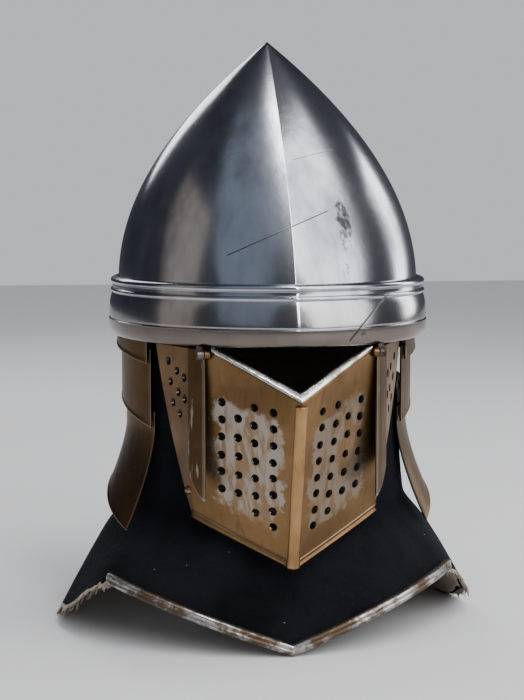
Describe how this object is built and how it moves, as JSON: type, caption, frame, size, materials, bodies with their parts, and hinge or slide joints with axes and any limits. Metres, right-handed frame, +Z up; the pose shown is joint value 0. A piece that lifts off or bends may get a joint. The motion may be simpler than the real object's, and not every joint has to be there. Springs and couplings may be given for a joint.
{
  "type": "knight helmet",
  "caption": "Pointed steel skull over a brow band, with a hinged brass face plate pierced with breaths, articulated ear plates and a stiff black cloth collar with a steel rim.",
  "frame": {"origin": "on the surface that the helmet stands on, under the middle of its outline", "axes": "+Z up to the apex, the face looks along -Y, +X is the wearer's left"},
  "size_m": [0.31, 0.2947, 0.4243],
  "materials": {
    "skull_steel": "polished, slightly worn and tarnished",
    "rim_steel": "bright, worn by handling",
    "hinge_steel": "dull forged",
    "face_brass": "warm satin with brighter worn patches",
    "lame_brass": "darker satin",
    "fittings_brass": "satin",
    "collar_cloth": "thick felted black cloth with a short nap",
    "collar_lining": "coarse undyed linen",
    "liner_linen": "quilted linen",
    "leather": "oiled brown"
  },
  "bodies": {
    "skull": {"skull": "skull_steel", "brow_band": "skull_steel", "liner": "liner_linen", "sweatband": "leather", "hinge_bracket_left": "hinge_steel", "hinge_bracket_right": "hinge_steel", "hinge_pin_left": "hinge_steel", "hinge_pin_right": "hinge_steel", "ear_upper_left": "lame_brass", "ear_upper_right": "lame_brass", "ear_rivets_upper_left": "fittings_brass", "ear_rivets_upper_right": "fittings_brass", "collar_cloth": "collar_cloth", "collar_lining": "collar_lining", "collar_rim": "rim_steel", "collar_hanger": "leather", "hanger_studs": "fittings_brass", "chin_strap_long": "leather", "chin_strap_short": "leather", "buckle_frame": "fittings_brass", "strap_keeper": "leather", "strap_mounts": "fittings_brass"},
    "visor": {"face_plate": "face_brass", "sight_rim": "rim_steel", "corner_strap_left": "face_brass", "corner_strap_right": "face_brass", "strap_rivets": "fittings_brass"},
    "buckle_tongue": {"buckle_tongue": "fittings_brass"},
    "ear_middle_left": {"ear_middle_left": "lame_brass", "ear_rivets_middle_left": "fittings_brass"},
    "ear_lower_left": {"ear_lower_left": "lame_brass"},
    "ear_middle_right": {"ear_middle_right": "lame_brass", "ear_rivets_middle_right": "fittings_brass"},
    "ear_lower_right": {"ear_lower_right": "lame_brass"}
  },
  "joints": [
    {"name": "visor_lift", "type": "hinge", "parent": "skull", "child": "visor", "pos_m": [0, -0.1095, 0.208], "axis": [-1, 0, 0], "range_deg": [0, 45]},
    {"name": "ear_middle_right_swing", "type": "hinge", "parent": "skull", "child": "ear_middle_right", "pos_m": [0.1011, -0.02523, 0.20575], "axis": [-0.2565, -0.9543, -0.1533], "range_deg": [0, 8]},
    {"name": "ear_lower_right_swing", "type": "hinge", "parent": "ear_middle_right", "child": "ear_lower_right", "pos_m": [0.09806, -0.0249, 0.165], "axis": [-0.243, -0.9146, -0.3232], "range_deg": [0, 12]},
    {"name": "ear_middle_left_swing", "type": "hinge", "parent": "skull", "child": "ear_middle_left", "pos_m": [-0.1011, -0.02523, 0.20575], "axis": [-0.2565, 0.9543, 0.1533], "range_deg": [0, 8]},
    {"name": "ear_lower_left_swing", "type": "hinge", "parent": "ear_middle_left", "child": "ear_lower_left", "pos_m": [-0.09806, -0.0249, 0.165], "axis": [-0.243, 0.9146, 0.3232], "range_deg": [0, 12]},
    {"name": "buckle_tongue_turn", "type": "hinge", "parent": "skull", "child": "buckle_tongue", "pos_m": [-0.069, -0.0095, 0.147], "axis": [0, 1, 0], "range_deg": [0, 95]}
  ]
}
